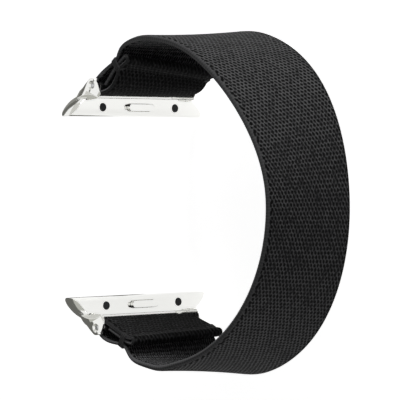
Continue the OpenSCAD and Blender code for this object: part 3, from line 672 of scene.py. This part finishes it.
# %% Run the loft and keep its result as a plain mesh
def run_tree(obj, group, **values):
    """Puts a Geometry Nodes tree on obj, sets its named inputs, and returns a plain mesh."""
    modifier = obj.modifiers.new(group.name, "NODES")
    modifier.node_group = group
    for item in group.interface.items_tree:
        if item.item_type == "SOCKET" and item.in_out == "INPUT" and item.name in values:
            modifier[item.identifier] = values[item.name]
    bpy.context.view_layer.update()
    graph = bpy.context.evaluated_depsgraph_get()
    mesh = bpy.data.meshes.new_from_object(obj.evaluated_get(graph), depsgraph=graph)
    obj.modifiers.remove(modifier)
    return mesh


strap_mesh = run_tree(rails, loft, Section=section_obj, Stations=stations,
                      **{"Section points": len(section), "Width": STRAP_W, "Material": webbing})
strap = finished("elastic_strap", strap_mesh)
for helper in (rails, section_obj):
    bpy.data.objects.remove(helper)
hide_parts("strap")
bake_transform(strap)
volume = sum(p.area * p.normal.dot(p.center) for p in strap_mesh.polygons) / 3
print("strap:", len(strap_mesh.polygons), "faces,", round(volume * 1e9), "mm3")

# %% [markdown]
# ## The sewing
#
# Lockstitch holds each fold: its thread shows as one row on the flap and one on the
# outer layer. A Geometry Nodes tree lays small thread ellipsoids along a line at the
# pitch of the machine. At the edges of each seam the thread is wound round all the
# layers as a bartack, which shows as a small lump beside the strap. A second tree makes
# it: one loop of thread, repeated side by side.

# %% Sewing thread: twisted polyester, with a ply about every 0.4 mm
thread, tree = new_material("black_polyester_sewing_thread")
where = add(tree, "ShaderNodeTexCoord")
twist = add(tree, "ShaderNodeTexWave", {
    "Vector": where.outputs["Object"], "Scale": 900.0, "Distortion": 2.0}, wave_type="BANDS",
    bands_direction="DIAGONAL")
twist_colour = add(tree, "ShaderNodeMix", {
    0: twist.outputs["Fac"], 6: linear("#101011"), 7: linear("#2c2c2d")}, data_type="RGBA")
fibre = add(tree, "ShaderNodeBsdfPrincipled", {
    "Base Color": twist_colour.outputs[2], "Roughness": 0.6, "Specular IOR Level": 0.25})
end_material(thread, fibre)


# %% Start and end of a sewing tree
def new_tree(name, inputs):
    """A Geometry Nodes tree with named inputs and one output."""
    group = bpy.data.node_groups.new(name, "GeometryNodeTree")
    for key, kind in inputs:
        group.interface.new_socket(key, in_out="INPUT", socket_type=kind)
    group.interface.new_socket("Result", in_out="OUTPUT", socket_type="NodeSocketGeometry")
    return group, add(group, "NodeGroupInput").outputs


def end_tree(group, geometry, material):
    """Joins the instances, smooths and paints them, and ends the tree."""
    whole = add(group, "GeometryNodeRealizeInstances", {"Geometry": geometry})
    soft = add(group, "GeometryNodeSetShadeSmooth", {"Geometry": whole})
    paint = add(group, "GeometryNodeSetMaterial", {"Geometry": soft, "Material": material})
    add(group, "NodeGroupOutput", {"Result": paint})
    print(group.name, "tree:", len(group.nodes), "nodes")


# %% Geometry Nodes: a row of stitches
row, given = new_tree("stitch_row", [("Line", "NodeSocketGeometry"),
                                     ("Pitch", "NodeSocketFloat"),
                                     ("Size", "NodeSocketVector"),
                                     ("Material", "NodeSocketMaterial")])
line = add(row, "GeometryNodeMeshToCurve", {"Mesh": given["Line"]})
spots = add(row, "GeometryNodeCurveToPoints", {
    "Curve": line, "Length": given["Pitch"]}, mode="LENGTH")
bead = add(row, "GeometryNodeMeshUVSphere", {"Segments": 8, "Rings": 5, "Radius": 0.5})
stitches = add(row, "GeometryNodeInstanceOnPoints", {
    "Points": spots.outputs["Points"], "Instance": bead.outputs["Mesh"],
    "Rotation": spots.outputs["Rotation"], "Scale": given["Size"]})
end_tree(row, stitches, given["Material"])

# %% Geometry Nodes: a bartack
CORNER_R = 0.0004    # metres, where the thread turns over an edge of the fold
tack, given = new_tree("bartack", [("Loop", "NodeSocketGeometry"),
                                   ("Thread", "NodeSocketFloat"),
                                   ("Turns", "NodeSocketInt"), ("Step", "NodeSocketVector"),
                                   ("Material", "NodeSocketMaterial")])
path = add(tack, "GeometryNodeMeshToCurve", {"Mesh": given["Loop"]})
finer = add(tack, "GeometryNodeFilletCurve", {
    "Curve": path, "Radius": CORNER_R, "Count": 4, "Limit Radius": True}, mode="POLY")
strand = add(tack, "GeometryNodeCurvePrimitiveCircle", {
    "Resolution": 7, "Radius": given["Thread"]})
turn = add(tack, "GeometryNodeCurveToMesh", {
    "Curve": finer, "Profile Curve": strand.outputs["Curve"], "Fill Caps": True})
places = add(tack, "GeometryNodeMeshLine", {"Count": given["Turns"], "Offset": given["Step"]})
turns = add(tack, "GeometryNodeInstanceOnPoints", {"Points": places, "Instance": turn})
end_tree(tack, turns, given["Material"])

# %% [markdown]
# The line of each row and the loop of each bartack are placed from the same seam as the
# layers: so far past it towards the hem, and so far out from its middle layer.


# %% Places on a seam
def in_frame(point, z, end):
    """A point of the sketch, in metres of the CAD frame. end is 1 for the upper end."""
    return (np.array([end * point[0], point[1], z]) + SHIFT) * MM


def seam_point(s, past, out):
    """On the seam of one edge: past it towards the hem, and out from its middle layer."""
    return BAR + [s["out"], -s["back"]] + past * along(s["hem"]) + out * outward(s["seam"])


def along_line(points, group, **values):
    """Runs a sewing tree on a line through the points, and returns its mesh."""
    mesh = bpy.data.meshes.new("line")
    mesh.from_pydata([tuple(p) for p in points], [(i, i + 1) for i in range(len(points) - 1)],
                     [])
    line_obj = finished("line", mesh)
    sewn = run_tree(line_obj, group, Material=thread, **values)
    bpy.data.objects.remove(line_obj)
    return sewn


SKIN = LAYER_PITCH + SEWN_T / 2
print("outer skin", round(SKIN, 2), "mm from the middle layer")

# %% Sew both folds, sizes in millimetres
STITCH_PITCH = 1.25
STITCH = (0.26 * MM, 0.26 * MM, 0.95 * MM)
ROW_INSET = 1.2      # from the strap's edge to the first and last stitch
FLAP_PAST = {"upper": 0.9, "lower": 0.1}    # past the seam, the row on the flap
OUTER_PAST = -0.3    # the row on the outer layer lies just above the seam
TACK_PAST = -0.9     # and the bartack starts above it
TACK_INSET = 1.3     # how far it reaches over each face
TACK_OVER = 0.05     # its thread's middle lies this far off the face there
TACK_BESIDE = 0.12   # and this far off round the strap's edge
TACK_THREAD = 0.17
TACK_TURNS = 4
TACK_STEP = 0.3
for end, label, s_left, s_right in ((1, "upper", UPPER_LEFT, UPPER_RIGHT),
                                    (-1, "lower", LOWER_LEFT, LOWER_RIGHT)):
    for face, out, on in (("flap", -SKIN, FLAP_PAST[label]), ("outer", SKIN, OUTER_PAST)):
        ends = [in_frame(seam_point(s_left, on, out), STRAP_W / 2 - ROW_INSET, end),
                in_frame(seam_point(s_right, on, out), ROW_INSET - STRAP_W / 2, end)]
        mesh = along_line(ends, row, Pitch=STITCH_PITCH * MM, Size=STITCH)
        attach(finished(f"{label}_{face}_stitches", mesh), "bars")
    for edge, s_edge, z in (("left", s_left, STRAP_W / 2), ("right", s_right, -STRAP_W / 2)):
        inside = z - math.copysign(TACK_INSET, z)
        beside = z + math.copysign(TACK_BESIDE, z)
        corners = [(SKIN + TACK_OVER, inside), (SKIN + TACK_BESIDE, beside),
                   (-SKIN - TACK_BESIDE, beside), (-SKIN - TACK_OVER, inside)]
        points = [in_frame(seam_point(s_edge, TACK_PAST, o), w, end) for o, w in corners]
        step = along(s_edge["seam"]) * TACK_STEP * MM
        mesh = along_line(points, tack, Thread=TACK_THREAD * MM, Turns=TACK_TURNS,
                          Step=(end * step[0], step[1], 0.0))
        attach(finished(f"{label}_{edge}_bartack", mesh), "bars")
    print(label, "fold sewn")

# %% [markdown]
# ## The steel
#
# Connectors of this kind are stainless steel, ground and then polished until they
# mirror the room. A mirror needs almost no texture of its own: what is left is a
# faint waviness from the polishing wheel, and edges that the wheel has rounded, which
# a Bevel node gives to the shading without touching the mesh. The bars, their tips and
# the screws are turned on a lathe, so they carry fine rings and are duller.

# %% Polished stainless steel, with waves about 4 mm long
polished, tree = new_material("stainless_steel_polished")
where = add(tree, "ShaderNodeTexCoord")
ripple = add(tree, "ShaderNodeTexNoise", {
    "Vector": where.outputs["Object"], "Scale": 260.0, "Detail": 2.0})
smear = add(tree, "ShaderNodeMapRange", {
    "Value": ripple.outputs[0], "To Min": 0.06, "To Max": 0.14})
soft_edges = add(tree, "ShaderNodeBevel", {"Radius": 0.14 * MM}, samples=6)
ripple_bump = add(tree, "ShaderNodeBump", {
    "Strength": 0.12, "Distance": 0.05 * MM, "Height": ripple.outputs[0], "Normal": soft_edges})
steel = add(tree, "ShaderNodeBsdfPrincipled", {
    "Base Color": linear("#eeeeeb"), "Metallic": 1.0, "Roughness": smear,
    "Normal": ripple_bump})
end_material(polished, steel)

# %% Turned stainless steel
RING_PITCH = 0.12 * MM    # between the marks of the lathe tool, drawn coarse enough to show
turned, tree = new_material("stainless_steel_turned")
where = add(tree, "ShaderNodeTexCoord")
where_xyz = add(tree, "ShaderNodeSeparateXYZ", {0: where.outputs["Object"]})
ring = add(tree, "ShaderNodeMath", {
    0: where_xyz.outputs[2], 1: 2 * math.pi / RING_PITCH}, operation="MULTIPLY")
ring_wave = add(tree, "ShaderNodeMath", {0: ring}, operation="SINE")
ring_bump = add(tree, "ShaderNodeBump", {
    "Strength": 0.35, "Distance": 0.01 * MM, "Height": ring_wave})
bar_steel = add(tree, "ShaderNodeBsdfPrincipled", {
    "Base Color": linear("#c6c7c8"), "Metallic": 1.0, "Roughness": 0.3, "Normal": ring_bump})
end_material(turned, bar_steel)

# %% [markdown]
# The small springs are drawn wire, which the die leaves a little uneven in its shine, in
# patches of a tenth of a millimetre. The two dots in each lug are moulded rubber with a
# matt skin, whose grain is about a quarter of a millimetre.

# %% Drawn spring wire
wire, tree = new_material("spring_steel_drawn")
where = add(tree, "ShaderNodeTexCoord")
die_marks = add(tree, "ShaderNodeTexNoise", {"Vector": where.outputs["Object"], "Scale": 9000.0})
wire_rough = add(tree, "ShaderNodeMapRange", {
    "Value": die_marks.outputs[0], "To Min": 0.25, "To Max": 0.45})
wire_steel = add(tree, "ShaderNodeBsdfPrincipled", {
    "Base Color": linear("#b9babd"), "Metallic": 1.0, "Roughness": wire_rough})
end_material(wire, wire_steel)

# %% Moulded rubber
rubber, tree = new_material("black_rubber_moulded")
where = add(tree, "ShaderNodeTexCoord")
skin = add(tree, "ShaderNodeTexNoise", {
    "Vector": where.outputs["Object"], "Scale": 4000.0, "Detail": 3.0})
skin_colour = add(tree, "ShaderNodeMix", {
    0: skin.outputs[0], 6: linear("#202123"), 7: linear("#303134")}, data_type="RGBA")
skin_bump = add(tree, "ShaderNodeBump", {
    "Strength": 0.4, "Distance": 0.03 * MM, "Height": skin.outputs[0]})
pad_skin = add(tree, "ShaderNodeBsdfPrincipled", {
    "Base Color": skin_colour.outputs[2], "Roughness": 0.75, "Normal": skin_bump})
end_material(rubber, pad_skin)

# %% Give each CAD node its finish
FINISHES = {"connector": polished, "lock_button": polished, "lock_cover": polished,
            "cover_screws": turned, "bar_barrel": turned, "tip": turned,
            "springs": wire, "bar_spring": wire, "pads": rubber}
for name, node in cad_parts.items():
    for ending, finish in FINISHES.items():
        if name.endswith(ending):
            node.data.materials.clear()
            node.data.materials.append(finish)
            print(name, "->", finish.name)

# %% [markdown]
# ## Light, floor and camera
#
# The photograph is a catalogue picture on pure white, lit softly. The floor is white
# and keeps a soft shadow. A glow that only the camera, mirrors and lenses see lifts it
# to the picture's white background without lighting the cloth.


# %% Floor
def seen_directly(tree):
    """1 for rays that come from the camera, a mirror or a lens, and 0 for all others."""
    rays = add(tree, "ShaderNodeLightPath")
    some = add(tree, "ShaderNodeMath", {
        0: rays.outputs["Is Camera Ray"], 1: rays.outputs["Is Glossy Ray"]}, operation="ADD")
    return add(tree, "ShaderNodeMath", {
        0: some, 1: rays.outputs["Is Transmission Ray"]}, operation="ADD", use_clamp=True)


FLOOR = 3.0          # metres from its middle to its sides
FLOOR_GLOW = 0.88    # what lifts the paper to the white of the picture
floor_mesh = bpy.data.meshes.new("floor")
floor_mesh.from_pydata([(-FLOOR, -FLOOR, 0), (FLOOR, -FLOOR, 0), (FLOOR, FLOOR, 0),
                        (-FLOOR, FLOOR, 0)], [], [(0, 1, 2, 3)])
floor = finished("floor", floor_mesh)
floor_paint, tree = new_material("white_paper_floor")
glow_level = add(tree, "ShaderNodeMath", {
    0: seen_directly(tree), 1: FLOOR_GLOW}, operation="MULTIPLY")
paper = add(tree, "ShaderNodeBsdfDiffuse", {"Color": linear("#f0f0f0")})
glow = add(tree, "ShaderNodeEmission", {"Strength": glow_level})
both = add(tree, "ShaderNodeAddShader", {0: paper, 1: glow})
end_material(floor_paint, both)
floor.data.materials.append(floor_paint)
print("floor:", 2 * FLOOR, "m square")

# %% World
world = bpy.data.worlds.new("studio")
bpy.context.scene.world = world
world.use_nodes = True
tree = world.node_tree
tree.nodes.clear()
level = add(tree, "ShaderNodeMapRange", {
    "Value": seen_directly(tree), "To Min": 0.1, "To Max": 1.0})
sky = add(tree, "ShaderNodeBackground", {"Color": (1, 1, 1, 1), "Strength": level})
add(tree, "ShaderNodeOutputWorld", {"Surface": sky})
print("world:", len(tree.nodes), "nodes")


# %% Lamps
def soft_lamp(name, place, target, size, watts):
    """A square area lamp at place, turned to the target. Places are in metres."""
    data = bpy.data.lights.new(name, "AREA")
    data.size = size
    data.energy = watts
    lamp = bpy.data.objects.new(name, data)
    lamp.location = place
    lamp.rotation_euler = (Vector(target) - Vector(place)).to_track_quat("-Z", "Y").to_euler()
    bpy.context.scene.collection.objects.link(lamp)
    print(name, watts, "W")


CENTRE = (0.0, 0.0, 0.018)    # the middle of the band
soft_lamp("top_softbox", (0.60, -0.14, 0.12), CENTRE, 0.26, 2.2)
soft_lamp("top_back_softbox", (0.60, -0.30, 0.03), CENTRE, 0.26, 1.0)
soft_lamp("bottom_softbox", (-0.60, -0.10, 0.10), CENTRE, 0.22, 0.75)
soft_lamp("back_fill", (0.10, -0.60, 0.25), CENTRE, 0.30, 0.15)

# %% [markdown]
# Polished steel shows what stands round it, and in an all white room it would vanish
# against the background. Photographers set up dark cards, called flags, out of the
# picture, and their reflections draw the edges of the metal. These are greys matched to
# the steel of the photograph. Reflections alone see them, so the cloth keeps its light.


# %% Flags
def card_corners(*spans):
    """Four corners from spans along x, y and z, one of which is a single number."""
    ends = [span if isinstance(span, tuple) else (span, span) for span in spans]
    first, second = [i for i in range(3) if isinstance(spans[i], tuple)]
    corners = []
    for a, b in ((0, 0), (1, 0), (1, 1), (0, 1)):
        corner = [span[0] for span in ends]
        corner[first], corner[second] = ends[first][a], ends[second][b]
        corners.append(corner)
    return corners


def flag(name, x, y, z, colour):
    """A grey card that only reflections see. Spans are in metres."""
    mesh = bpy.data.meshes.new(name)
    mesh.from_pydata(card_corners(x, y, z), [], [(0, 1, 2, 3)])
    card = finished(name, mesh)
    paint, tree = new_material(name + "_paint")
    grey = add(tree, "ShaderNodeEmission", {"Color": linear(colour), "Strength": 1.0})
    end_material(paint, grey)
    mesh.materials.append(paint)
    card.visible_camera = card.visible_diffuse = False
    card.visible_transmission = card.visible_shadow = False


flag("lower_front_flag", (-0.5, 0.0), 0.3, (-0.2, 0.5), "#6a6a66")
flag("upper_front_flag", (0.0, 0.5), 0.3, (-0.2, 0.12), "#6a6a66")
flag("upper_floor_flag", (0.0, 0.3), (0.08, 0.3), 0.001, "#8e8e8a")
flag("lower_floor_flag", (-0.3, 0.0), (0.04, 0.3), 0.001, "#6a6a66")
flag("left_flag", -0.45, (-0.4, 0.3), (0.1, 0.8), "#bcbcb6")
flag("right_flag", 0.45, (-0.4, 0.3), (0.1, 0.8), "#d4d4d0")

# %% [markdown]
# The camera was fitted to the outline of the band in the photograph: it looks along
# the strap's width at 43 degrees, from half a metre away, with the upper end of the
# band at the top of the picture, rolled by one degree.

# %% Camera
LOOK_A = math.radians(43)
ROLL = math.radians(1)
DISTANCE = 510.0    # mm from the lens to the middle of the back plane
ASIDE = 9.43        # mm by which the camera stands to the right of it
ABOVE = 0.914       # and above it, in the picture
LENS = 234          # mm
SENSOR = 36         # mm wide
aim = Vector((0, math.cos(LOOK_A), -math.sin(LOOK_A)))
right_v = Vector((0, -math.sin(LOOK_A), -math.cos(LOOK_A)))
up_v = Vector((1, 0, 0))
eye = Vector(SHIFT) + ASIDE * right_v + ABOVE * up_v - DISTANCE * aim
right_r = math.cos(ROLL) * right_v - math.sin(ROLL) * up_v
up_r = math.sin(ROLL) * right_v + math.cos(ROLL) * up_v
camera_data = bpy.data.cameras.new("photo_camera")
camera_data.lens = LENS
camera_data.sensor_width = SENSOR
camera_data.clip_start = 0.01
camera = bpy.data.objects.new("photo_camera", camera_data)
basis = Matrix((right_r, up_r, -aim)).transposed().to_4x4()
basis.translation = eye * MM
camera.matrix_world = basis
bpy.context.scene.collection.objects.link(camera)
bpy.context.scene.camera = camera
bpy.context.scene.view_settings.view_transform = "Standard"
print("camera at", [round(c, 4) for c in basis.translation])
